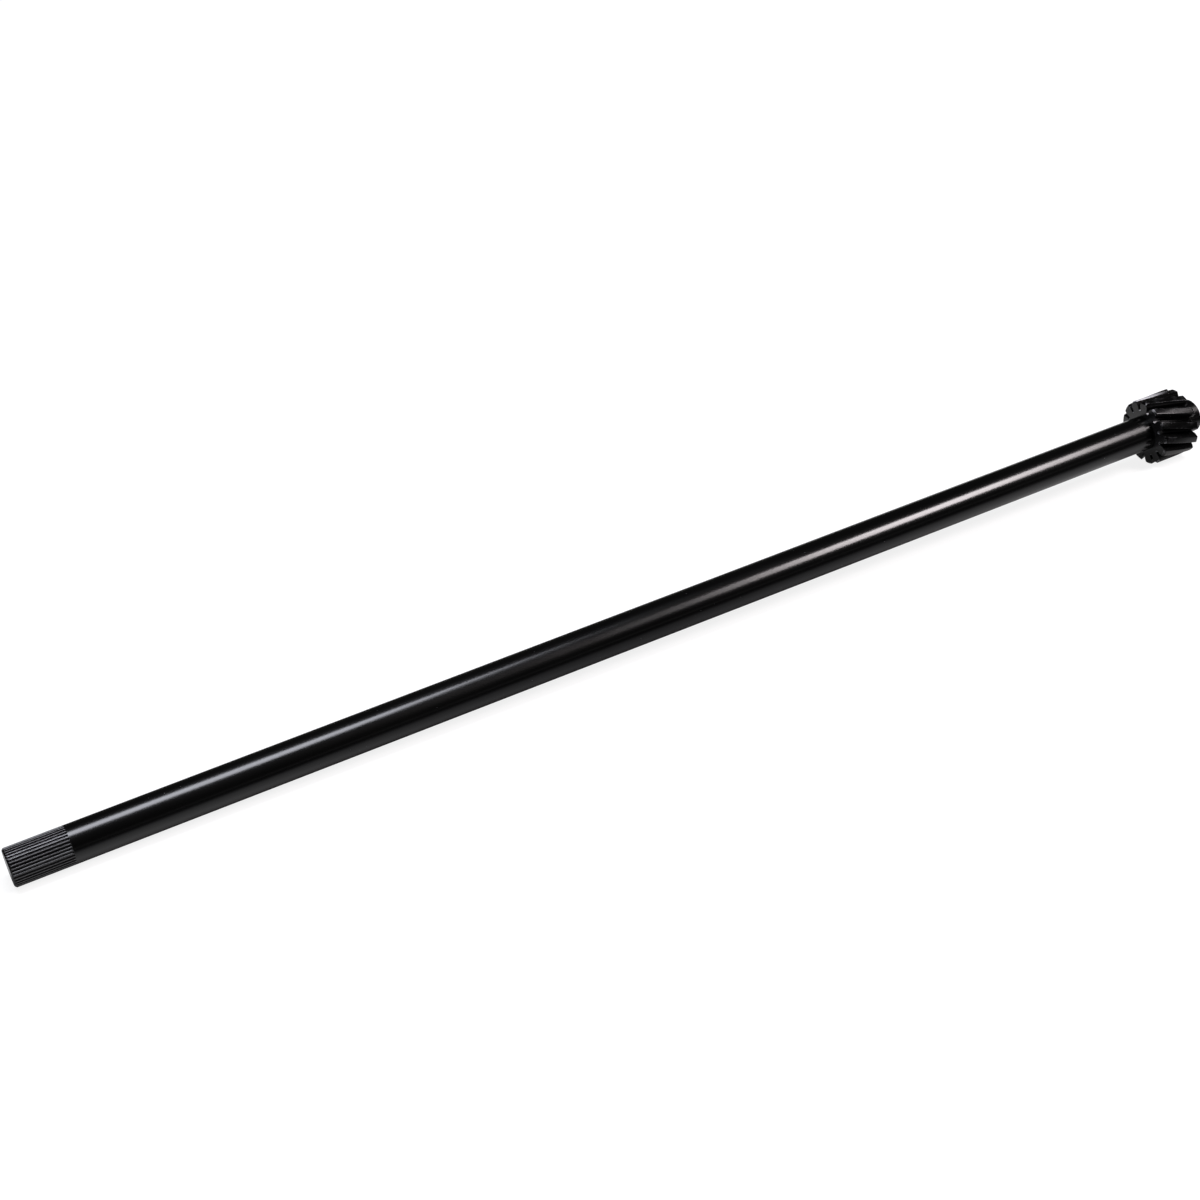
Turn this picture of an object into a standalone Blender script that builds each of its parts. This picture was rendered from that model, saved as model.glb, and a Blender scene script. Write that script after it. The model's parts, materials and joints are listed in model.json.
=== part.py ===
"""Steering shaft of a garden tractor, as a parametric Blender model. Metres, +Z up.

The shaft is one steel bar. Its left end is serrated for the steering wheel's adapter. Its right end is
turned down to a seat, and a helical pinion is pressed on that seat up to the shoulder. What sticks out
of the pinion is the journal that turns in the lower bush.

Both pieces are modelled along +X from the middle of the serrated end's face, and hang on one empty. The
empty lays them on the ground as they come to rest: the bar on its serrated end, the pinion on its teeth.
"""

import math

import bmesh
import bpy
from mathutils import Matrix, Vector

# Bar
OVERALL_LENGTH = 0.5645
BAR_DIAMETER = 0.015875
BAR_END_CHAMFER = 0.0007

# Serrated end: straight V grooves cut into the bar, whose cutter lifts out at their inner ends
SERRATION_COUNT = 36
SERRATION_LENGTH = 0.0242
SERRATION_DEPTH = 0.0005
SERRATION_ROOT_WIDTH = 0.00014
SERRATION_GROOVE_ANGLE = math.radians(80.0)
SERRATION_LIFT_LENGTH = 0.0007

# Turned end: the pinion's seat, and the journal beyond it on the same diameter
SHOULDER_HEIGHT = 0.0004
JOURNAL_LENGTH = 0.0087
JOURNAL_CHAMFER = 0.0007
SEAT_FIT_GAP = 0.0001
SHOULDER_FIT_GAP = 0.0001

# Pinion: right-hand helical teeth with involute flanks, measured across the shaft's axis
TOOTH_COUNT = 13
TOOTH_MODULE = 0.00203
TOOTH_ADDENDUM = 0.00205
TOOTH_DEDENDUM = 0.0026
TOOTH_SPACE_WIDTH = 0.00188
ROOT_FILLET_SHARE = 0.7
TOOTH_PRESSURE_ANGLE = math.radians(14.5)
PINION_HELIX_ANGLE = math.radians(16.5)
PINION_FACE_WIDTH = 0.01905
PINION_BACK_CHAMFER = 0.0008
PINION_FRONT_CHAMFER = 0.0002
PINION_BORE_CHAMFER = 0.0004

# Facets of the curved surfaces
ROUND_SIDES = 72
BAR_STATIONS = 8
FLANK_STEPS = 4
FILLET_STEPS = 3
LAND_STEPS = 2
HELIX_STATIONS = 9

# How far a cutter or a trimming shape reaches past the metal that it works on
CUTTER_OVERRUN = 0.001
MERGE_DISTANCE = 1e-7
SHARP_EDGE_ANGLE = math.radians(25)

BAR_RADIUS = BAR_DIAMETER / 2
JOURNAL_RADIUS = BAR_RADIUS - SHOULDER_HEIGHT
PITCH_RADIUS = TOOTH_COUNT * TOOTH_MODULE / 2
TIP_RADIUS = PITCH_RADIUS + TOOTH_ADDENDUM
ROOT_RADIUS = PITCH_RADIUS - TOOTH_DEDENDUM
BASE_RADIUS = PITCH_RADIUS * math.cos(TOOTH_PRESSURE_ANGLE)
BORE_RADIUS = JOURNAL_RADIUS + SEAT_FIT_GAP
PINION_BACK_X = OVERALL_LENGTH - JOURNAL_LENGTH - PINION_FACE_WIDTH
SHOULDER_X = PINION_BACK_X - SHOULDER_FIT_GAP
TOOTH_PITCH_ANGLE = 2 * math.pi / TOOTH_COUNT
HELIX_TURN_PER_METRE = math.tan(PINION_HELIX_ANGLE) / PITCH_RADIUS


def clear_scene():
    for obj in list(bpy.data.objects):
        bpy.data.objects.remove(obj)


def steel(name, colour, roughness):
    """Steel under a thin black coat, so neither colour nor gloss is that of bare metal."""
    material = bpy.data.materials.new(name)
    material.use_nodes = True
    shader = material.node_tree.nodes["Principled BSDF"]
    shader.inputs["Base Color"].default_value = (*colour, 1.0)
    shader.inputs["Roughness"].default_value = roughness
    shader.inputs["Metallic"].default_value = 0.0
    return material


def new_object(name, bm, material=None):
    """Turns a bmesh into an object whose round faces are smooth and whose edges stay crisp."""
    bmesh.ops.recalc_face_normals(bm, faces=bm.faces)
    mesh = bpy.data.meshes.new(name)
    bm.to_mesh(mesh)
    bm.free()
    mesh.shade_smooth()
    mesh.set_sharp_from_angle(angle=SHARP_EDGE_ANGLE)
    if material:
        mesh.materials.append(material)
    obj = bpy.data.objects.new(name, mesh)
    bpy.context.scene.collection.objects.link(obj)
    return obj


def boolean(target, tool, operation):
    """Works one shape on another with a live modifier, and keeps the tool out of the finished model."""
    modifier = target.modifiers.new(tool.name, "BOOLEAN")
    modifier.operation = operation
    modifier.solver = "EXACT"
    modifier.object = tool
    tool.hide_render = True
    tool.display_type = "WIRE"
    tool.parent = target


def turned(profile, closed=False):
    """Revolves a profile of (x, radius) points about X. An open profile gets flat round ends."""
    bm = bmesh.new()
    points = [bm.verts.new((x, 0.0, -radius)) for x, radius in profile]
    edges = [bm.edges.new(pair) for pair in zip(points, points[1:])]
    if closed:
        edges.append(bm.edges.new((points[-1], points[0])))
    about_x = {"cent": (0, 0, 0), "axis": (1, 0, 0), "angle": 2 * math.pi}
    bmesh.ops.spin(bm, geom=points + edges, steps=ROUND_SIDES, use_merge=True, **about_x)
    bmesh.ops.remove_doubles(bm, verts=bm.verts, dist=MERGE_DISTANCE)
    if not closed:
        rims = [edge for edge in bm.edges if edge.is_boundary]
        bmesh.ops.holes_fill(bm, edges=rims, sides=0)
    return bm


def bar_profile():
    """The lathe's path: serrated end, plain bar, shoulder, seat and journal."""
    plain_start = SERRATION_LENGTH + CUTTER_OVERRUN
    spacing = (SHOULDER_X - plain_start) / BAR_STATIONS
    plain = [(plain_start + spacing * i, BAR_RADIUS) for i in range(BAR_STATIONS + 1)]
    return [
        (0.0, BAR_RADIUS - BAR_END_CHAMFER),
        (BAR_END_CHAMFER, BAR_RADIUS),
        *plain,
        (SHOULDER_X, JOURNAL_RADIUS),
        (OVERALL_LENGTH - JOURNAL_CHAMFER, JOURNAL_RADIUS),
        (OVERALL_LENGTH, JOURNAL_RADIUS - JOURNAL_CHAMFER),
    ]


def serration_cutter():
    """One V-shaped cutter per groove, each lifting clear of the bar at the groove's inner end."""
    root = BAR_RADIUS - SERRATION_DEPTH
    top = BAR_RADIUS + CUTTER_OVERRUN / 2
    slope = math.tan(SERRATION_GROOVE_ANGLE / 2)
    rise_per_metre = SERRATION_DEPTH / SERRATION_LIFT_LENGTH
    lift_start = SERRATION_LENGTH - SERRATION_LIFT_LENGTH
    clear_x = lift_start + (top - root) / rise_per_metre

    def section(x, depth_radius):
        """The V's outline where the cutter's edge is at depth_radius."""
        half_root = SERRATION_ROOT_WIDTH / 2
        half_top = half_root + (top - depth_radius) * slope
        return [(x, half_root, depth_radius), (x, half_top, top), (x, -half_top, top), (x, -half_root, depth_radius)]

    bm = bmesh.new()
    for k in range(SERRATION_COUNT):
        turn = Matrix.Rotation((k + 0.5) * 2 * math.pi / SERRATION_COUNT, 4, "X")
        front = [bm.verts.new(turn @ Vector(p)) for p in section(-CUTTER_OVERRUN, root)]
        middle = [bm.verts.new(turn @ Vector(p)) for p in section(lift_start, root)]
        tail = [bm.verts.new(turn @ Vector((clear_x, side * SERRATION_ROOT_WIDTH / 2, top))) for side in (1, -1)]
        bm.faces.new(front)
        for i in range(4):
            j = (i + 1) % 4
            bm.faces.new((front[j], front[i], middle[i], middle[j]))
        bm.faces.new((middle[0], middle[1], tail[0]))
        bm.faces.new((middle[1], middle[2], tail[1], tail[0]))
        bm.faces.new((middle[2], middle[3], tail[1]))
        bm.faces.new((middle[3], middle[0], tail[0], tail[1]))
    return new_object("serration_cutter", bm)


def involute(angle):
    return math.tan(angle) - angle


def half_space_angle(radius):
    """Half the angle between two teeth at a radius. The flanks are involutes, and radial under the base circle."""
    at_pitch = TOOTH_SPACE_WIDTH / 2 / PITCH_RADIUS
    opening = involute(math.acos(BASE_RADIUS / max(radius, BASE_RADIUS)))
    return at_pitch + opening - involute(TOOTH_PRESSURE_ANGLE)


def space_side():
    """(radius, angle) points up one side of a tooth space, from its root to the tip, angles from its middle."""
    fillet = ROOT_FILLET_SHARE * half_space_angle(ROOT_RADIUS) * ROOT_RADIUS
    flank_foot = ROOT_RADIUS + fillet
    fillet_start = half_space_angle(flank_foot) - fillet / flank_foot
    points = []
    for i in range(FILLET_STEPS + 1):
        turn = math.pi / 2 * i / FILLET_STEPS
        radius = flank_foot - fillet * math.cos(turn)
        points.append((radius, fillet_start + fillet * math.sin(turn) / flank_foot))
    for i in range(1, FLANK_STEPS + 1):
        radius = flank_foot + (TIP_RADIUS - flank_foot) * i / FLANK_STEPS
        points.append((radius, half_space_angle(radius)))
    return points


def tooth_outline():
    """The pinion's outline across X, with the middle of a tooth space straight down."""
    rising = space_side()
    falling = [(radius, -angle) for radius, angle in reversed(rising)]
    land_start = half_space_angle(TIP_RADIUS)
    land_angle = TOOTH_PITCH_ANGLE - 2 * land_start
    land = [(TIP_RADIUS, land_start + land_angle * i / LAND_STEPS) for i in range(1, LAND_STEPS)]
    outline = []
    for k in range(TOOTH_COUNT):
        for radius, angle in falling + rising + land:
            turn = angle + k * TOOTH_PITCH_ANGLE - math.pi / 2
            outline.append(Vector((0.0, radius * math.cos(turn), radius * math.sin(turn))))
    return outline


def tooth_form():
    """The toothed bar that the hob would leave: the outline drawn along X while it turns with the helix."""
    bm = bmesh.new()
    start = -CUTTER_OVERRUN
    step = (PINION_FACE_WIDTH + 2 * CUTTER_OVERRUN) / HELIX_STATIONS
    rings = []
    for i in range(HELIX_STATIONS + 1):
        x = start + i * step
        place = Matrix.Translation((x, 0, 0)) @ Matrix.Rotation(x * HELIX_TURN_PER_METRE, 4, "X")
        rings.append([bm.verts.new(place @ point) for point in tooth_outline()])
    for near, far in zip(rings, rings[1:]):
        for i in range(len(near)):
            j = (i + 1) % len(near)
            bm.faces.new((near[i], near[j], far[j], far[i]))
    bm.faces.new(rings[0])
    bm.faces.new(rings[-1])
    return new_object("tooth_form", bm)


def pinion_blank():
    """The blank's section: chamfered bore, and tooth tips turned back far more behind than in front."""
    outside = TIP_RADIUS + CUTTER_OVERRUN
    profile = [
        (PINION_BORE_CHAMFER, BORE_RADIUS),
        (0.0, BORE_RADIUS + PINION_BORE_CHAMFER),
        (0.0, TIP_RADIUS - PINION_BACK_CHAMFER),
        (PINION_BACK_CHAMFER + CUTTER_OVERRUN, outside),
        (PINION_FACE_WIDTH - PINION_FRONT_CHAMFER - CUTTER_OVERRUN, outside),
        (PINION_FACE_WIDTH, TIP_RADIUS - PINION_FRONT_CHAMFER),
        (PINION_FACE_WIDTH, BORE_RADIUS + PINION_BORE_CHAMFER),
        (PINION_FACE_WIDTH - PINION_BORE_CHAMFER, BORE_RADIUS),
    ]
    return turned(profile, closed=True)


def rest_frame():
    """The empty that lays the axis on the ground: serrated end on its rim, pinion on a tooth's edge.

    A tooth space faces the ground at the pinion's back face, so the pinion stands where the next tooth,
    wound by the helix, has reached the ground.
    """
    pinion_contact_x = PINION_BACK_X + half_space_angle(TIP_RADIUS) / HELIX_TURN_PER_METRE
    tilt = math.atan((TIP_RADIUS - BAR_RADIUS) / (pinion_contact_x - BAR_END_CHAMFER))
    empty = bpy.data.objects.new("shaft_axis", None)
    bpy.context.scene.collection.objects.link(empty)
    empty.rotation_euler = (0.0, -tilt, 0.0)
    empty.location = (
        -OVERALL_LENGTH / 2 * math.cos(tilt),
        0.0,
        BAR_RADIUS * math.cos(tilt) - BAR_END_CHAMFER * math.sin(tilt),
    )
    return empty


def build():
    clear_scene()
    axis = rest_frame()
    shaft = new_object("shaft", turned(bar_profile()), steel("black_bar", (0.012, 0.012, 0.013), 0.28))
    boolean(shaft, serration_cutter(), "DIFFERENCE")
    shaft.parent = axis
    pinion = new_object("pinion", pinion_blank(), steel("black_pinion", (0.010, 0.010, 0.011), 0.38))
    boolean(pinion, tooth_form(), "INTERSECT")
    pinion.parent = axis
    pinion.location = (PINION_BACK_X, 0.0, 0.0)


build()
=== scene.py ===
# %% [markdown]
# A steering shaft on a white table
#
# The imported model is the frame: two nodes, `shaft` and `pinion`, at their real size and place. This
# file keeps that frame and dresses it. Each step first says what the piece or the finish is on the real
# object, and then makes it with Blender's own tools.

# %% Load the frame
import json
import math

import bmesh
import bpy
from mathutils import Matrix, Vector


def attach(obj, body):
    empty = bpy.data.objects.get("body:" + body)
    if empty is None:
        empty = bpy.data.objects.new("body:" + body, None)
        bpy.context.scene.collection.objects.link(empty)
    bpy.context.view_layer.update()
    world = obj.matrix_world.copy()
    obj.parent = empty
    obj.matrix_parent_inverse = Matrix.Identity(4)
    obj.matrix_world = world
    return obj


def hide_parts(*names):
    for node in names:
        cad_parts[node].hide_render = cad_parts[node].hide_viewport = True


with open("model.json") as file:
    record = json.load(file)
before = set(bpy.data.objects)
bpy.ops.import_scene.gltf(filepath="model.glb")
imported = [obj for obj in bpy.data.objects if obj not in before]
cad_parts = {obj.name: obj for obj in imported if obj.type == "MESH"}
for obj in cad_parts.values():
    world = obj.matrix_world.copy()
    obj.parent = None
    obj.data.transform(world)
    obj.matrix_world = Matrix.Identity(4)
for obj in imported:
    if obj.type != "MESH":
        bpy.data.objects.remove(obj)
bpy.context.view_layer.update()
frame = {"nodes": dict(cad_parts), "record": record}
print("nodes in the frame:", sorted(frame["nodes"]))

# %% [markdown]
# Where the shaft lies
#
# The pinion is thicker than the bar, so the shaft leans a little, and nothing on it is parallel to the
# world's axes. All pieces are therefore modelled in the shaft's own space: +X along its axis from the
# serrated end, with the middle of that end's face as the origin. The two end faces in the record
# give that space, and the nodes' meshes give the radii.

# %% Measure the shaft in the frame
MILLIMETRE = 0.001

end_faces = {mount["name"]: Vector(mount["pos_m"]) for mount in frame["record"]["mounts"]}
axis_start = end_faces["serrated_end_face"]
axis_line = end_faces["journal_end_face"] - axis_start
OVERALL_LENGTH = axis_line.length
LEAN = math.asin(axis_line.z / OVERALL_LENGTH)
shaft_space = Matrix.Translation(axis_start) @ Matrix.Rotation(-LEAN, 4, "Y")


def reach(node):
    """Lowest and highest place along the axis, and the largest radius, of a node in the shaft's space."""
    to_shaft = shaft_space.inverted()
    points = [to_shaft @ vertex.co for vertex in frame["nodes"][node].data.vertices]
    along = [point.x for point in points]
    return min(along), max(along), max(math.hypot(point.y, point.z) for point in points)


BAR_RADIUS = reach("shaft")[2]
PINION_BACK, PINION_FRONT, TIP_RADIUS = reach("pinion")
FACE_WIDTH = PINION_FRONT - PINION_BACK
print(f"length {OVERALL_LENGTH / MILLIMETRE:.2f} mm, lean {math.degrees(LEAN):.3f} degrees")
print(f"bar radius {BAR_RADIUS / MILLIMETRE:.3f} mm, tip radius {TIP_RADIUS / MILLIMETRE:.3f} mm")
print(f"pinion {FACE_WIDTH / MILLIMETRE:.2f} mm wide")

# %% [markdown]
# The camera
#
# The photograph looks down on the shaft from its serrated end, so the bar crosses the picture from the
# lower left to the upper right and grows a little thinner on its way. The lens, the place and the small
# roll were found by fitting a pinhole camera to the bar's two outlines and to the pinion's rim, in
# pixels of the 1200 x 1200 photograph.

# %% Camera
PHOTO_WIDTH = 1200
FOCAL_LENGTH_PIXELS = 2110.0
SENSOR_WIDTH = 36.0
CAMERA_PLACE = Vector((-0.32182, -0.69652, 0.46149))
CAMERA_TARGET = Vector((-0.00621, 0.04886, 0.00013))
CAMERA_ROLL = math.radians(-8.085)

lens = bpy.data.cameras.new("camera")
lens.sensor_width = SENSOR_WIDTH
lens.lens = SENSOR_WIDTH * FOCAL_LENGTH_PIXELS / PHOTO_WIDTH
lens.clip_start = 0.01
camera = bpy.data.objects.new("camera", lens)
bpy.context.scene.collection.objects.link(camera)
level_view = (CAMERA_TARGET - CAMERA_PLACE).to_track_quat("-Z", "Y").to_matrix().to_4x4()
camera.matrix_world = Matrix.Translation(CAMERA_PLACE) @ level_view @ Matrix.Rotation(CAMERA_ROLL, 4, "Z")
bpy.context.scene.camera = camera
print(f"lens {lens.lens:.2f} mm")

# %% [markdown]
# Arithmetic on sockets
#
# A finish is easier to read as a formula than as a web of nodes. `Wire` holds one output socket. An
# expression on wires adds the Math nodes that work it out, and `node` adds any other kind. The methods
# after it name the few nodes that the finishes use most.

# %% Wires


def connect(socket, value):
    """Links a wire to a socket, or writes a plain value into it."""
    if isinstance(value, Wire):
        socket.id_data.links.new(value.socket, socket)
    else:
        socket.default_value = value


class Wire:
    """One output of a shader tree, with arithmetic."""

    def __init__(self, socket):
        self.socket = socket

    def node(self, kind, settings=(), inputs=(), output=0):
        """Adds a node of any kind: its settings first, then its inputs by name or number."""
        added = self.socket.id_data.nodes.new("ShaderNode" + kind)
        for name, value in dict(settings).items():
            setattr(added, name, value)
        for key, value in dict(inputs).items():
            connect(added.inputs[key], value)
        return Wire(added.outputs[output])

    def math(self, operation, *values):
        """A Math node. Without values it works on this wire alone."""
        return self.node("Math", {"operation": operation}, enumerate(values or [self]))

    def __add__(self, other):
        return self.math("ADD", self, other)

    def __radd__(self, other):
        return self.math("ADD", other, self)

    def __sub__(self, other):
        return self.math("SUBTRACT", self, other)

    def __rsub__(self, other):
        return self.math("SUBTRACT", other, self)

    def __mul__(self, other):
        return self.math("MULTIPLY", self, other)

    def __rmul__(self, other):
        return self.math("MULTIPLY", other, self)

    def rise(self, low, high):
        """0 below low, 1 above high, and a smooth slope between. It falls where low is the larger."""
        edges = {"Value": self, "From Min": low, "From Max": high}
        return self.node("MapRange", {"interpolation_type": "SMOOTHSTEP"}, edges)

    def drawn_out(self, factor):
        """The same coordinates with x multiplied: a small factor draws a pattern out along the shaft."""
        return self.node("VectorMath", {"operation": "MULTIPLY"}, {0: self, 1: (factor, 1.0, 1.0)})

    def noise(self, size, detail=2.0, roughness=0.5):
        """Soft random values from 0 to 1 on these coordinates, with blots of about that size."""
        pattern = {"Vector": self, "Scale": 1.0 / size, "Detail": detail, "Roughness": roughness}
        return self.node("TexNoise", (), pattern)

    def specks(self, spacing, size, share):
        """Rare round specks: a share of the points of a 3-D scatter, where the surface passes near one."""
        solid_core = 0.6 * size
        distance = self.node("TexVoronoi", (), {"Vector": self, "Scale": 1.0 / spacing}, "Distance")
        lottery = Wire(distance.socket.node.outputs["Color"])
        drawn = lottery.node("SeparateColor", (), {0: lottery})
        near = distance.rise(size / spacing, solid_core / spacing)
        return near * drawn.rise(1.0 - share, 1.02 - share)

    def tint(self, low, high):
        """A colour between two, by this wire from 0 to 1."""
        return self.node("Mix", {"data_type": "RGBA"}, {0: self, 6: (*low, 1.0), 7: (*high, 1.0)}, output=2)

    def over(self, colour, under):
        """A colour laid over another where this wire is 1."""
        return self.node("Mix", {"data_type": "RGBA"}, {0: self, 6: under, 7: (*colour, 1.0)}, output=2)

    def split(self):
        """The three coordinates as wires of their own."""
        parts = self.node("SeparateXYZ", (), {0: self}).socket.node.outputs
        return [Wire(part) for part in parts]


print("wires ready")

# %% [markdown]
# What the two finishes share
#
# Both pieces are black steel, and every pattern on them follows the shaft: lines run along it, rings run
# round it. So each material first takes its coordinates back to the shaft's space, with +X along the
# axis. Both also have flat end faces that came off a lathe, with fine rings round the axis. They are a
# noise that reads nothing but the radius.

# %% Tools for finishes


def grey(value):
    """A colour with all three parts alike."""
    return (value, value, value)


def new_finish(name, ior):
    """A material, its shader, and the shaft's own coordinates for its patterns to follow."""
    material = bpy.data.materials.new(name)
    material.use_nodes = True
    shader = material.node_tree.nodes["Principled BSDF"]
    shader.inputs["IOR"].default_value = ior
    object_space = Wire(material.node_tree.nodes.new("ShaderNodeTexCoord").outputs["Object"])
    placing = {"Vector": object_space, "Location": axis_start, "Rotation": (0.0, -LEAN, 0.0)}
    return material, shader, object_space.node("Mapping", {"vector_type": "TEXTURE"}, placing)


def turned_faces(x, radius, back, front, margin, ring_width):
    """Where a piece's two flat end faces are, and the fine rings that turning left on them."""
    from_middle = (x - (back + front) / 2).math("ABSOLUTE")
    edge = (front - back) / 2 - margin
    rings = radius.node("CombineXYZ", (), {0: radius}).noise(ring_width, 2.0, 0.6)
    return from_middle.rise(edge - 0.04 * MILLIMETRE, edge), rings


def set_relief(shader, relief, height):
    """Lets a relief of that height bend what the surface mirrors, without moving the surface."""
    bump = {"Height": relief, "Distance": height, "Strength": 1.0}
    connect(shader.inputs["Normal"], relief.node("Bump", (), bump))


print("tools for finishes ready")

# %% [markdown]
# The black coat on the bar
#
# The bar is drawn steel under a thin black coat that shines like lacquer. Its colour is nearly nothing:
# what the eye sees is the studio mirrored in it, a little spread by the coat's roughness. Very faint
# drawing lines run along the bar, the coat has a slight orange peel, and dust lies on it. The rolled
# serrations hold the coat less evenly: they are duller, and rubbed to dark metal along their crests.
#
# An image would have to be painted and unwrapped. Formulas on the shaft's coordinates stay sharp at any
# distance and know where the crests are. The first cell finds these places, the second makes the
# patterns, and the third mixes them. The number beside a pattern says how strongly it shows.

# %% Places on the bar
SERRATION_LENGTH = 24.2 * MILLIMETRE

bar_coat, bar_shader, here = new_finish("bar_coat", ior=1.46)
x, y, z = here.split()
radius = (y * y + z * z).math("SQRT")
serrated = x.rise(SERRATION_LENGTH + 0.1 * MILLIMETRE, SERRATION_LENGTH - 0.5 * MILLIMETRE)
crests = serrated * radius.rise(BAR_RADIUS - 0.07 * MILLIMETRE, BAR_RADIUS - 0.02 * MILLIMETRE)
end_margin = 0.01 * MILLIMETRE
flat_end, rings = turned_faces(x, radius, 0.0, OVERALL_LENGTH, end_margin, 0.18 * MILLIMETRE)
print("places on the bar ready")

# %% Patterns of the bar
drawn_lines = here.drawn_out(0.012).noise(0.2 * MILLIMETRE, 3.0, 0.6)
orange_peel = here.drawn_out(0.6).noise(1.1 * MILLIMETRE)
patches = here.drawn_out(0.25).noise(14.0 * MILLIMETRE, 3.0)
grain = here.noise(0.4 * MILLIMETRE, 3.0, 0.6)
dust = here.specks(3.2 * MILLIMETRE, 0.13 * MILLIMETRE, 0.5)
rubbed = crests * (0.55 + 0.45 * grain.rise(0.35, 0.6)) + 0.06 * flat_end * rings
print("patterns of the bar ready")

# %% Finish of the bar
CREST_METAL = (0.12, 0.12, 0.123)
BAR_DUST = (0.16, 0.16, 0.17)
BAR_RELIEF = 0.004 * MILLIMETRE

bar_black = rubbed.over(CREST_METAL, patches.tint(grey(0.0003), grey(0.0008)))
connect(bar_shader.inputs["Base Color"], dust.over(BAR_DUST, bar_black))
connect(bar_shader.inputs["Metallic"], 0.9 * rubbed)
smooth_part = 0.16 + 0.07 * patches + 0.04 * drawn_lines
connect(bar_shader.inputs["Roughness"], smooth_part + 0.04 * serrated + 0.17 * rubbed + 0.3 * dust)
relief = 0.25 * drawn_lines + 0.7 * orange_peel + serrated * grain
set_relief(bar_shader, relief + 3.0 * flat_end * rings + 1.5 * dust, BAR_RELIEF)
print("bar coat ready")

# %% [markdown]
# Where things are on the pinion
#
# Wear follows the form: it comes first on the rim and on the edges of the lands. A painted highlight of
# bare grey lies on the teeth that face up and away from the camera. So the finish has to know its way
# round the teeth. The angle round the axis, less the turn of the helix and counted in teeth, gives the
# place across a tooth: 0 in its middle, half a pitch on both sides in the middle of a space. The back rim
# is a cone at 45 degrees, so the difference between radius and place along the axis is the same all over
# it.

# %% Round the teeth
TOOTH_COUNT = 13
PITCH_RADIUS = 13.195 * MILLIMETRE
HELIX_ANGLE = math.radians(16.5)
TURN_PER_METRE = math.tan(HELIX_ANGLE) / PITCH_RADIUS

pinion_coat, pinion_shader, here = new_finish("pinion_coat", ior=1.32)
x, y, z = here.split()
radius = (y * y + z * z).math("SQRT")
angle = z.math("ARCTAN2", z, y) - TURN_PER_METRE * (x - PINION_BACK)
across_tooth = ((angle + math.pi / 2) * (TOOTH_COUNT / math.tau)).math("FRACT") - 0.5
print(f"the teeth turn by {math.degrees(TURN_PER_METRE * FACE_WIDTH):.1f} degrees over the face")

# %% Places on the pinion
BACK_CHAMFER = 0.8 * MILLIMETRE
RIM_CONE = TIP_RADIUS - BACK_CHAMFER - PINION_BACK
# The side of the pinion whose teeth get the painted highlight: up and away from the camera.
HIGHLIGHT_SIDE = math.radians(66)

end_margin = 0.02 * MILLIMETRE
flat_end, rings = turned_faces(x, radius, PINION_BACK, PINION_FRONT, end_margin, 0.16 * MILLIMETRE)
land = radius.rise(TIP_RADIUS - 0.14 * MILLIMETRE, TIP_RADIUS - 0.03 * MILLIMETRE)
rim = (radius - x - RIM_CONE).math("ABSOLUTE").rise(0.06 * MILLIMETRE, 0.02 * MILLIMETRE)
# Painted highlight: the teeth on that side are marked for bare grey, where the top tooth shines.
towards_highlight = y * math.cos(HIGHLIGHT_SIDE) + z * math.sin(HIGHLIGHT_SIDE)
painted_highlight_teeth = towards_highlight.rise(0.94 * TIP_RADIUS, 0.975 * TIP_RADIUS)
root = radius.rise(11.2 * MILLIMETRE, 10.7 * MILLIMETRE) * radius.rise(10.3 * MILLIMETRE, 10.5 * MILLIMETRE)
# Painted highlight: the back ends of the roots get bare grey, as spots of light in the spaces.
painted_highlight_roots = root * (1.0 - flat_end) * x.rise(PINION_BACK + 4 * MILLIMETRE, PINION_BACK + 1 * MILLIMETRE)
print("places on the pinion ready")

# %% [markdown]
# The black coat on the pinion
#
# The pinion has the same black, but thinner and over a cut surface, so it is duller and finely grained.
# The hob left faint waves and scratches along the teeth. The steel comes through as a rough grey in spots
# on the rim and along the edges of the lands. The same grey is painted as a highlight on the back half of
# the teeth that face up and away from the camera, and at the back ends of the roots.

# %% Patterns of the pinion
grain = here.noise(0.30 * MILLIMETRE, 4.0, 0.65)
blotches = here.noise(2.6 * MILLIMETRE, 3.0)
scratches = here.drawn_out(0.12).noise(0.22 * MILLIMETRE, 3.0, 0.6)
hob_marks = (x * (math.tau / (0.9 * MILLIMETRE)) + 3.0 * blotches).math("SINE")
dust = here.specks(1.6 * MILLIMETRE, 0.10 * MILLIMETRE, 0.45)
spots = (0.65 * blotches + 0.35 * grain).rise(0.50, 0.60)
print("patterns of the pinion ready")

# %% Wear and painted highlights of the pinion
edge_strip = land * (across_tooth.math("ABSOLUTE") + 0.06 * scratches).rise(0.17, 0.22)
back_half = x.rise(PINION_FRONT - 2 * MILLIMETRE, PINION_FRONT - 13 * MILLIMETRE)
tooth_top = radius.rise(TIP_RADIUS - 0.5 * MILLIMETRE, TIP_RADIUS - 0.2 * MILLIMETRE)
# Painted highlight and wear: the grey on the top-side teeth and at the root ends is a painted highlight;
wear_and_painted_highlight = painted_highlight_teeth * back_half * tooth_top * (0.6 + 0.4 * scratches) + 0.4 * painted_highlight_roots
# the grey in spots on the rim, the land edges and the end faces is wear.
wear_and_painted_highlight = wear_and_painted_highlight + (0.04 * edge_strip + 0.3 * rim + 0.012 * land) * spots + 0.02 * flat_end * rings
print("wear ready")

# %% Finish of the pinion
# One grey for worn steel and for the painted highlights.
BARE_STEEL_AND_HIGHLIGHT = (0.62, 0.62, 0.64)
PINION_RELIEF = 0.012 * MILLIMETRE

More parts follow.
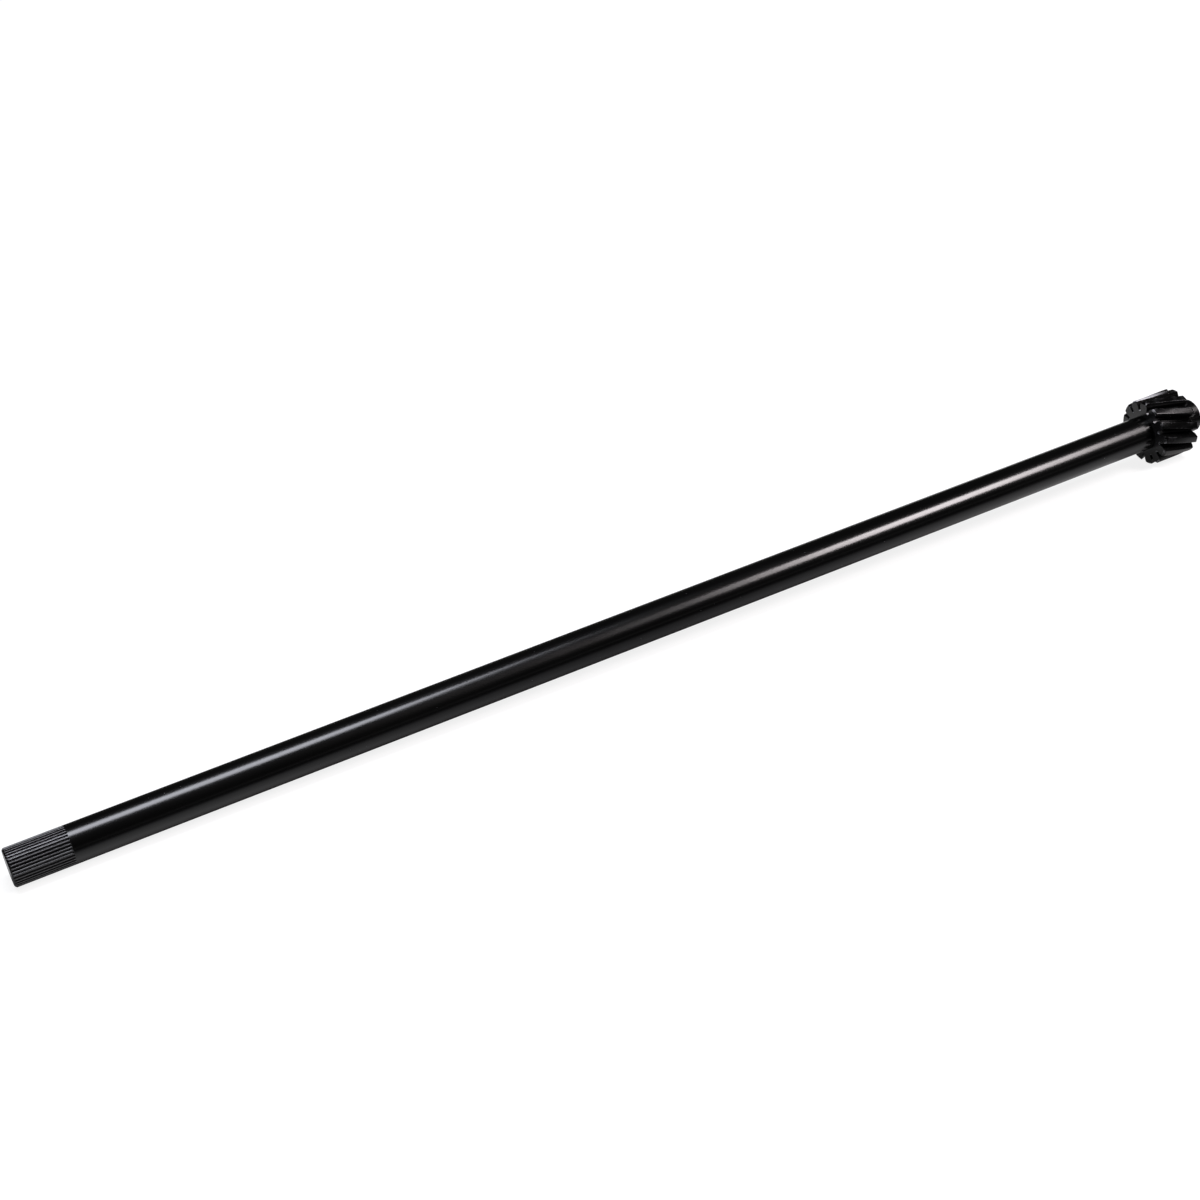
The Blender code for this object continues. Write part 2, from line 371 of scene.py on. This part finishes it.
pinion_black = wear_and_painted_highlight.over(BARE_STEEL_AND_HIGHLIGHT, blotches.tint(grey(0.0008), grey(0.0025)))
connect(pinion_shader.inputs["Base Color"], dust.over(grey(0.3), pinion_black))
connect(pinion_shader.inputs["Metallic"], 0.4 * wear_and_painted_highlight)
smooth_part = 0.15 + 0.10 * grain + 0.05 * blotches
connect(pinion_shader.inputs["Roughness"], smooth_part + 0.3 * wear_and_painted_highlight + 0.2 * dust)
relief = 0.6 * grain + 0.4 * scratches + 0.10 * hob_marks
set_relief(pinion_shader, relief + 0.8 * flat_end * rings + 1.5 * dust, PINION_RELIEF)
print("pinion coat ready")

# %% [markdown]
# Rings and columns
#
# Both pieces are long forms whose cross-section changes along the axis. Each starts as one circle of
# vertices, and is drawn out ring by ring. A column is the line of vertices that one vertex of the first
# circle leaves behind it, and its number stays with every vertex that is extruded from it. A ring has a
# number too. Choosing vertices by these numbers and scaling them towards the axis cuts a groove or a
# tooth.
#
# Cutting bodies and a boolean would give the same forms, as the frame's solids have them. But they leave
# thin triangles, on which an edge can't be rounded evenly, while rings leave clean four-sided faces.

# %% Start a piece and choose its vertices


def open_mesh():
    """The mesh being edited, and the two numbers that its vertices carry."""
    mesh = bmesh.from_edit_mesh(bpy.context.object.data)
    return mesh, mesh.verts.layers.int["ring"], mesh.verts.layers.int["column"]


def start_ring(name, columns, place, radius):
    """Opens a new piece: one circle round the axis, as ring 0, its columns numbered from straight down."""
    bpy.ops.object.select_all(action="DESELECT")
    bpy.ops.mesh.primitive_circle_add(vertices=columns, radius=radius)
    piece = bpy.context.object
    piece.name = name
    piece.data.name = name
    bpy.ops.object.mode_set(mode="EDIT")
    for around in "YX":
        bpy.ops.transform.rotate(value=math.pi / 2, orient_axis=around, center_override=(0, 0, 0))
    bpy.ops.transform.translate(value=(place, 0, 0))
    mesh = bmesh.from_edit_mesh(piece.data)
    mesh.verts.layers.int.new("ring")
    mesh.verts.layers.int.new("column")
    mesh, ring, column = open_mesh()
    for vertex in mesh.verts:
        turned = math.atan2(vertex.co.z, vertex.co.y) + math.pi / 2
        vertex[column] = round(turned / math.tau * columns) % columns
    bmesh.update_edit_mesh(piece.data)
    return piece


def pick(chosen):
    """Selects the vertices for whose ring and column chosen(ring, column) is true."""
    mesh, ring, column = open_mesh()
    for vertex in mesh.verts:
        vertex.select = bool(chosen(vertex[ring], vertex[column]))
    mesh.select_flush_mode()
    bmesh.update_edit_mesh(bpy.context.object.data)


def pick_ring(number):
    """Selects one ring."""
    pick(lambda ring, column: ring == number)


print("rings can be started and picked")

# %% Draw out, scale and turn


def extrude(distance=0.0, factor=1.0, angle=0.0):
    """Draws the selected ring out along the axis, scales and turns the new one, and returns its number."""
    bpy.ops.mesh.extrude_region_move(TRANSFORM_OT_translate={"value": (distance, 0, 0)})
    mesh, ring, column = open_mesh()
    newest = 1 + max(vertex[ring] for vertex in mesh.verts)
    for vertex in mesh.verts:
        if vertex.select:
            vertex[ring] = newest
    bmesh.update_edit_mesh(bpy.context.object.data)
    scale(factor)
    turn(angle)
    return newest


def scale(factor):
    """Scales what is selected towards the axis."""
    if factor != 1.0:
        bpy.ops.transform.resize(value=(1, factor, factor), center_override=(0, 0, 0))


def turn(angle):
    """Turns what is selected about the axis. Without a window the operator turns the other way."""
    if angle:
        bpy.ops.transform.rotate(value=-angle, orient_axis="X", center_override=(0, 0, 0))


RADIUS_DIGITS = 8
SAME_RADIUS = 1e-8


def shape_ring(number, radii):
    """Brings a ring's columns to these radii, which repeat round it."""
    for wanted in sorted(set(radii)):
        alike = {index for index, radius in enumerate(radii) if radius == wanted}
        columns_at = {}
        mesh, ring, column = open_mesh()
        for vertex in mesh.verts:
            if vertex[ring] == number and vertex[column] % len(radii) in alike:
                radius_now = round(math.hypot(vertex.co.y, vertex.co.z), RADIUS_DIGITS)
                columns_at.setdefault(radius_now, set()).add(vertex[column])
        for radius_now, columns in columns_at.items():
            if abs(radius_now - wanted) > SAME_RADIUS:
                pick(lambda ring, column: ring == number and column in columns)
                scale(wanted / radius_now)
    pick_ring(number)


def close_end():
    """Closes the piece with a flat face: the ring is drawn in to the axis in steps, and merged there."""
    for factor in (0.6, 0.5, 0.1):
        extrude(factor=factor)
    extrude()
    bpy.ops.mesh.merge(type="CENTER")


print("rings can be shaped")

# %% Finish a mesh and hand it over
MERGE_DISTANCE = 0.003 * MILLIMETRE
SHARP_EDGE = math.radians(30)
SMOOTH_UP_TO = math.radians(50)


def clean():
    """Merges vertices that lie on each other and removes faces that have closed to a line."""
    bpy.ops.mesh.select_all(action="SELECT")
    bpy.ops.mesh.remove_doubles(threshold=MERGE_DISTANCE)
    bpy.ops.mesh.dissolve_degenerate(threshold=MERGE_DISTANCE)


def round_edges(width, beyond=0.0):
    """Rounds every sharp edge that lies further from the axis than beyond."""
    bpy.ops.mesh.select_mode(type="EDGE")
    bpy.ops.mesh.select_all(action="DESELECT")
    bpy.ops.mesh.edges_select_sharp(sharpness=SHARP_EDGE)
    mesh = open_mesh()[0]
    for edge in mesh.edges:
        if edge.select and min(math.hypot(vertex.co.y, vertex.co.z) for vertex in edge.verts) < beyond:
            edge.select = False
    mesh.select_flush_mode()
    print("edges to round:", sum(edge.select for edge in mesh.edges))
    bpy.ops.mesh.bevel(offset=width, segments=2, affect="EDGES", clamp_overlap=False)
    bpy.ops.mesh.select_mode(type="VERT")


def leave_edit_mode(piece):
    """Turns all faces outwards and puts the piece from the shaft's space where the frame has it."""
    bpy.ops.mesh.select_all(action="SELECT")
    bpy.ops.mesh.normals_make_consistent(inside=False)
    bpy.ops.object.mode_set(mode="OBJECT")
    piece.matrix_world = shaft_space
    bpy.ops.object.transform_apply(location=True, rotation=True, scale=True)


def shade(piece):
    """Shades the piece smooth between sharp edges. Large faces lead, so they stay flat."""
    bpy.ops.object.shade_smooth_by_angle(angle=SMOOTH_UP_TO)
    piece.modifiers.new("flat_faces", "WEIGHTED_NORMAL").keep_sharp = True
    bpy.ops.object.modifier_apply(modifier="flat_faces")


def hand_over(piece, node, coat):
    """The piece gets its finish, rides on the frame, and stands for its node."""
    piece.data.materials.append(coat)
    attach(piece, "root")
    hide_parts(node)
    triangles = sum(len(face.vertices) - 2 for face in piece.data.polygons)
    print(piece.name, triangles, "triangles")


print("tools for pieces ready")

# %% [markdown]
# The serrated end
#
# Thirty-six V-shaped grooves are rolled into the first 24.2 mm of the bar, and the tool lifts out at
# their inner ends. They key the bar to the steering wheel. One groove could be modelled and copied round,
# but then 36 seams would have to be merged, so all of them are shaped at once, on one ring. Twenty columns
# to a groove give it two sloping sides and a narrow root, between two halves of a crest.
#
# The bar is started where the grooves begin to rise, and drawn out from there to both ends. A chamfer
# turns the end back at 45 degrees, so a column that lies deeper reaches the chamfer nearer the end.

# %% Section of a groove
SERRATION_COUNT = 36
LIFT_LENGTH = 0.7 * MILLIMETRE
LIFT_STEPS = 4
GROOVE_DEPTH = 0.5 * MILLIMETRE
ROOT_SHARE = 0.1
MOUTH_SHARE = 0.7
COLUMNS_PER_GROOVE = 20
END_CHAMFER = 0.7 * MILLIMETRE


def sharp_depth(column):
    """0 on the crest and 1 in the root, with straight sides between. Column 0 is the middle of the root."""
    half = COLUMNS_PER_GROOVE / 2
    away = abs((column + half) % COLUMNS_PER_GROOVE - half) / half
    return min(max((MOUTH_SHARE - away) / (MOUTH_SHARE - ROOT_SHARE), 0.0), 1.0)


def groove_radii(depth):
    """Radius of each column of a groove that deep. Averaging with the neighbours rounds the corners."""
    radii = []
    for column in range(COLUMNS_PER_GROOVE):
        share = (sharp_depth(column - 1) + 2 * sharp_depth(column) + sharp_depth(column + 1)) / 4
        radii.append(round(BAR_RADIUS - depth * share, 9))
    return radii


full_groove = groove_radii(GROOVE_DEPTH)
print("radii of a groove:", [round(radius / MILLIMETRE, 2) for radius in full_groove])

# %% Roll the serrations
lift_start = SERRATION_LENGTH - LIFT_LENGTH
steel_bar = start_ring("steel_bar", SERRATION_COUNT * COLUMNS_PER_GROOVE, lift_start, BAR_RADIUS)
shape_ring(0, full_groove)
chamfer_ring = extrude(END_CHAMFER - lift_start)
for level in sorted(set(full_groove)):
    pick(lambda ring, column: ring == chamfer_ring and full_groove[column % COLUMNS_PER_GROOVE] == level)
    bpy.ops.transform.translate(value=(level - BAR_RADIUS, 0, 0))
pick_ring(chamfer_ring)
end_ring = extrude()
bpy.ops.transform.resize(value=(0, 1, 1), center_override=(0, 0, 0))
shape_ring(end_ring, [BAR_RADIUS - END_CHAMFER])
close_end()

pick_ring(0)
for step in range(1, LIFT_STEPS + 1):
    lifted = extrude(LIFT_LENGTH / LIFT_STEPS)
    shape_ring(lifted, groove_radii(GROOVE_DEPTH * (1 - (step / LIFT_STEPS) ** 2)))
print("serrations rolled")

# %% [markdown]
# The plain bar, the seat and the journal
#
# The same piece goes on as plain bar. Just before the pinion it steps down to the turned seat, which
# ends beyond the pinion as the journal, with a chamfer to lead it into its bush. The real bar is one
# piece, so it is drawn on from the same ring. All its sharp edges are then rounded a little, because only
# a rounded edge catches a line of light.

# %% Bar, seat and journal
SHOULDER_HEIGHT = 0.4 * MILLIMETRE
SHOULDER_GAP = 0.1 * MILLIMETRE
JOURNAL_CHAMFER = 0.7 * MILLIMETRE
JOURNAL_RADIUS = BAR_RADIUS - SHOULDER_HEIGHT
BAR_RINGS = 8
BAR_ROUNDING = 0.06 * MILLIMETRE

shoulder_place = PINION_BACK - SHOULDER_GAP
for step in range(BAR_RINGS):
    extrude((shoulder_place - SERRATION_LENGTH) / BAR_RINGS)
extrude(factor=JOURNAL_RADIUS / BAR_RADIUS)
extrude(OVERALL_LENGTH - JOURNAL_CHAMFER - shoulder_place)
extrude(JOURNAL_CHAMFER, factor=(JOURNAL_RADIUS - JOURNAL_CHAMFER) / JOURNAL_RADIUS)
close_end()
round_edges(BAR_ROUNDING)
leave_edit_mode(steel_bar)
shade(steel_bar)
hand_over(steel_bar, "shaft", bar_coat)

# %% [markdown]
# The pinion
#
# A hob cuts the 13 teeth along a helix into a turned blank. The flanks are involutes of the base
# circle, the roots are rounded, and the blank's rim is turned back at 45 degrees. The numbers of one
# half tooth say where each column of the ring goes. A twist by a modifier would be quicker, but drawing
# each ring out and turning it keeps the rim's cone straight, as a lathe leaves it.

# %% Tooth section
PITCH = math.tau / TOOTH_COUNT
ROOT_RADIUS = 10.595 * MILLIMETRE
SPACE_WIDTH = 1.88 * MILLIMETRE
PRESSURE_ANGLE = math.radians(14.5)
BASE_RADIUS = PITCH_RADIUS * math.cos(PRESSURE_ANGLE)
FRONT_CHAMFER = 0.2 * MILLIMETRE
CHAMFER_STEP = 0.2 * MILLIMETRE
CHAMFER_STEPS = round(BACK_CHAMFER / CHAMFER_STEP)
FILLET_SHARE = 0.7
FILLET_STEPS = 5
FLANK_STEPS = 7
LAND_STEPS = 3


def involute(angle):
    """How far an involute has come round its base circle where the pressure angle is this large."""
    return math.tan(angle) - angle


def half_space(radius):
    """Half the angle between two teeth at a radius. Under the base circle the flank is radial."""
    opening = involute(math.acos(BASE_RADIUS / max(radius, BASE_RADIUS)))
    return SPACE_WIDTH / 2 / PITCH_RADIUS + opening - involute(PRESSURE_ANGLE)


def half_tooth():
    """Radius and angle of each column from the middle of a space to the middle of a tooth."""
    fillet = FILLET_SHARE * half_space(ROOT_RADIUS) * ROOT_RADIUS
    foot = ROOT_RADIUS + fillet
    fillet_start = half_space(foot) - fillet / foot
    section = [(ROOT_RADIUS, 0.0), (ROOT_RADIUS, fillet_start / 2)]
    for step in range(FILLET_STEPS + 1):
        bend = math.pi / 2 * step / FILLET_STEPS
        section.append((foot - fillet * math.cos(bend), fillet_start + fillet * math.sin(bend) / foot))
    flank = TIP_RADIUS - BACK_CHAMFER - foot
    levels = [foot + flank * step / FLANK_STEPS for step in range(1, FLANK_STEPS + 1)]
    levels += [TIP_RADIUS - CHAMFER_STEP * step for step in range(CHAMFER_STEPS - 1, -1, -1)]
    section += [(radius, half_space(radius)) for radius in levels]
    land_start = half_space(TIP_RADIUS)
    land_step = (PITCH / 2 - land_start) / LAND_STEPS
    return section + [(TIP_RADIUS, land_start + land_step * step) for step in range(1, LAND_STEPS + 1)]


to_middle = half_tooth()
tooth_columns = to_middle + [(radius, PITCH - angle) for radius, angle in to_middle[-2:0:-1]]
tooth_radii = [radius for radius, angle in tooth_columns]
COLUMNS_PER_TOOTH = len(tooth_columns)
LAND_EDGE = len(to_middle) - 1 - LAND_STEPS
print("columns to a tooth:", COLUMNS_PER_TOOTH)

# %% Cut the teeth
TEETH_START = PINION_BACK + BACK_CHAMFER
HELIX_STEPS = 24


def wind(distance, limit=TIP_RADIUS):
    """Draws the selected ring out along the helix, and turns it down to a radius as a lathe tool would."""
    ring = extrude(distance, angle=TURN_PER_METRE * distance)
    if limit < TIP_RADIUS:
        shape_ring(ring, [min(radius, limit) for radius in tooth_radii])
    return ring


helical_pinion = start_ring("helical_pinion", TOOTH_COUNT * COLUMNS_PER_TOOTH, TEETH_START, TIP_RADIUS)
for index, (radius, angle) in enumerate(tooth_columns):
    pick(lambda ring, column: column % COLUMNS_PER_TOOTH == index)
    scale(radius / TIP_RADIUS)
    turn(angle - PITCH * index / COLUMNS_PER_TOOTH)
pick_ring(0)
turn(TURN_PER_METRE * BACK_CHAMFER)

level_rings = {TIP_RADIUS: 0}
for step in range(1, CHAMFER_STEPS + 1):
    level = TIP_RADIUS - CHAMFER_STEP * step
    level_rings[level] = wind(-CHAMFER_STEP, level)
back_face = level_rings[level]
pick_ring(0)
for step in range(HELIX_STEPS):
    top_ring = wind((FACE_WIDTH - BACK_CHAMFER - FRONT_CHAMFER) / HELIX_STEPS)
front_face = wind(FRONT_CHAMFER, TIP_RADIUS - FRONT_CHAMFER)
print("teeth cut")

# %% [markdown]
# The creases of the rim
#
# Where a flank runs out into the turned-back rim, the crease crosses the faces from corner to corner.
# Joining the corners splits each face along it, so that the edge can be rounded like the others.

# %% Creases


def on_crease(ring, column):
    """True for the corner at which a column of the flanks reaches the rim's cone, behind or in front."""
    index = column % COLUMNS_PER_TOOTH
    if LAND_EDGE < index < COLUMNS_PER_TOOTH - LAND_EDGE:
        return False
    radius = tooth_radii[index]
    at_back = [there for level, there in level_rings.items() if abs(radius - level) < SAME_RADIUS]
    at_front = ring == (top_ring if radius > TIP_RADIUS - SAME_RADIUS else front_face)
    return ring in at_back or (at_front and radius > TIP_RADIUS - FRONT_CHAMFER - SAME_RADIUS)


pick(on_crease)
bpy.ops.mesh.vert_connect()
print("creases joined")

# %% [markdown]
# The end faces and the bore
#
# Each toothed outline is drawn in to a round mouth, chamfered, and the bore goes through from the back
# along the same helix, so that its last ring meets the front mouth vertex on vertex. In the frame the
# bore clears its seat by 0.1 mm, because two solids may not overlap. Here that gap is nearly closed, so
# that the pinion looks pressed on. Only the edges of the teeth are rounded: the mouths hide in the fit.

# %% End faces and bore
PRESS_FIT_GAP = 0.02 * MILLIMETRE
BORE_RADIUS = JOURNAL_RADIUS + PRESS_FIT_GAP
BORE_CHAMFER = 0.4 * MILLIMETRE
BORE_STEPS = 12
PINION_ROUNDING = 0.05 * MILLIMETRE


def mouth(face, depth):
    """Draws an end face in to the bore, whose mouth is chamfered. One flat face is left to each tooth."""
    pick_ring(face)
    inner = extrude()
    shape_ring(inner, [BORE_RADIUS + BORE_CHAMFER])
    bpy.ops.mesh.select_mode(type="EDGE")
    bpy.ops.mesh.select_all(action="DESELECT")
    mesh, ring, column = open_mesh()
    for edge in mesh.edges:
        between = {vertex[ring] for vertex in edge.verts} == {face, inner}
        edge.select = between and edge.verts[0][column] % COLUMNS_PER_TOOTH != 0
    bpy.ops.mesh.dissolve_edges(use_verts=False)
    bpy.ops.mesh.select_mode(type="VERT")
    pick_ring(inner)
    extrude(depth, BORE_RADIUS / (BORE_RADIUS + BORE_CHAMFER), TURN_PER_METRE * depth)


mouth(front_face, -BORE_CHAMFER)
mouth(back_face, BORE_CHAMFER)
for step in range(BORE_STEPS):
    depth = (FACE_WIDTH - 2 * BORE_CHAMFER) / BORE_STEPS
    extrude(depth, angle=TURN_PER_METRE * depth)
clean()
round_edges(PINION_ROUNDING, beyond=(ROOT_RADIUS + BORE_RADIUS) / 2)
leave_edit_mode(helical_pinion)
shade(helical_pinion)
hand_over(helical_pinion, "pinion", pinion_coat)

# %% [markdown]
# The table
#
# The photograph has a white ground that holds a soft shadow close to the bar. A large plane under the
# shaft takes the light and the shadow. Its grey paint is lifted to white by an emission that only the
# camera's rays meet, so that it sheds no light on the object. Close to the shaft the lift is a little
# less, which lets the shadow show.
#
# The gloss of the coat mirrors the table too. The rays that a surface mirrors meet a lift and a paint of
# their own, which carry painted light and shade: a painted shadow where the bar and the pinion nearly
# touch the table, a painted pool of light beside the bar, a painted pale strip behind the pinion, and
# painted shade further off. All places are in metres along and across the table, from under the middle
# of the shaft.

# %% Table


def seen_and_mirrored(tree):
    """Wires that are 1 for a ray from the camera, and 1 for a ray that gloss or glass passes on."""
    rays = tree.nodes.new("ShaderNodeLightPath").outputs
    return Wire(rays["Is Camera Ray"]), Wire(rays["Is Glossy Ray"]) + Wire(rays["Is Transmission Ray"])


TABLE_SIZE = 12.0
bpy.ops.object.select_all(action="DESELECT")
bpy.ops.mesh.primitive_plane_add(size=TABLE_SIZE, location=(0, 0, 0))
table = bpy.context.object
table.name = "table"
white_table = bpy.data.materials.new("white_table")
white_table.use_nodes = True
table_tree = white_table.node_tree
table_tree.nodes.remove(table_tree.nodes["Principled BSDF"])
seen, mirrored = seen_and_mirrored(table_tree)
along, across = Wire(table_tree.nodes.new("ShaderNodeTexCoord").outputs["Object"]).split()[:2]
aside = across.math("ABSOLUTE")
endwise = along.math("ABSOLUTE")
print("table laid")

# %% Places on the table
SHAFT_REACH = 0.29
# Painted shadows: the mirrored table is darkened under the bar and under the pinion.
painted_shadow_under_bar = aside.rise(0.011, 0.003) * along.rise(0.24, 0.06)
painted_shadow_under_pinion = aside.rise(0.018, 0.006) * along.rise(0.235, 0.245)
# Painted pool of light: a bright strip beside the bar, stronger towards its ends, seen only in the gloss.
painted_pool_shape = aside.rise(0.045, 0.008) * (0.15 + 0.85 * endwise.rise(-0.02, 0.26))
painted_light_pool = painted_pool_shape * (1.0 - painted_shadow_under_bar) * (1.0 - 0.6 * painted_shadow_under_pinion)
# Painted light: a pale strip behind the pinion, seen only in the gloss.
painted_light_behind_pinion = across.rise(0.012, 0.03) * along.rise(0.17, 0.23)
far_away = aside.math("MAXIMUM", aside, endwise - SHAFT_REACH).rise(0.08, 0.35)
print("places on the table ready")

# %% Finish of the table
# Painted shade: the table mirrored further off is this dark grey.
PAINTED_FAR_SHADE_GREY = 0.03
TABLE_GREY = 0.22
# The camera's rays see the table lifted to white; mirrored rays see the painted pool and strip of light.
white_lift_and_painted_light = (0.85 + 0.15 * far_away) * seen + mirrored * (0.55 * painted_light_pool + 0.9 * painted_light_behind_pinion)
# Painted shade: further from the shaft the mirrored table fades to the dark grey.
painted_shade_falloff = 1.0 - mirrored * aside.rise(0.02, 0.055)
paint = white_lift_and_painted_light.node("BsdfDiffuse", (), {"Color": painted_shade_falloff.tint(grey(PAINTED_FAR_SHADE_GREY), grey(TABLE_GREY))})
glow = white_lift_and_painted_light.node("Emission", (), {"Strength": white_lift_and_painted_light})
surface = glow.node("AddShader", (), {0: paint, 1: glow})
connect(table_tree.nodes["Material Output"].inputs["Surface"], surface)
table.data.materials.append(white_table)
print("table ready")

# %% [markdown]
# The two soft lights
#
# A black coat shows the room more than itself. The photograph shows a long highlight that fades in the
# middle, so two soft lights hang over the table: a wide and slightly blue one over the left half, and a
# brighter and slightly warm one to the right and nearer the camera.

# %% Lights


def soft_light(name, place, size, radiance, turned, colour):
    """A flat rectangular light over the table. Its power follows from its brightness and size."""
    light = bpy.data.lights.new(name, "AREA")
    light.shape = "RECTANGLE"
    light.size, light.size_y = size
    light.energy = radiance * math.pi * size[0] * size[1]
    light.color = colour
    lamp = bpy.data.objects.new(name, light)
    lamp.location = place
    lamp.rotation_euler = (0.0, 0.0, math.radians(turned))
    bpy.context.scene.collection.objects.link(lamp)
    print(name, f"{light.energy:.1f} W")


soft_light("left_light", (-0.148, 0.0, 1.0), (0.60, 0.38), 13.8, turned=-24.0, colour=(0.90, 0.915, 1.0))
soft_light("right_light", (0.79, -0.69, 1.0), (0.34, 0.74), 26.8, turned=17.0, colour=(1.0, 0.93, 0.945))

# %% [markdown]
# The room
#
# Everything above the table's horizon is dark, which gives the deep black bands on both sides of the
# highlight. A faint glow near the horizon keeps the lower edge of the gloss from going out altogether.
# The camera alone sees a white room, like the photograph's ground.

# %% Room
HORIZON_HEIGHT = math.sin(math.radians(8))
ROOM_GREY = 0.03
HORIZON_GLOW = 0.2

room = bpy.data.worlds.new("room")
bpy.context.scene.world = room
room.use_nodes = True
seen, mirrored = seen_and_mirrored(room.node_tree)
height = Wire(room.node_tree.nodes.new("ShaderNodeTexCoord").outputs["Generated"]).split()[2]
low_glow = HORIZON_GLOW * mirrored * height.rise(HORIZON_HEIGHT, 0.0)
brightness = ROOM_GREY + (1.0 - ROOM_GREY) * seen + low_glow
connect(room.node_tree.nodes["Background"].inputs["Color"], brightness.tint(grey(0.0), grey(1.0)))
bpy.context.scene.view_settings.view_transform = "Standard"
print("room ready")
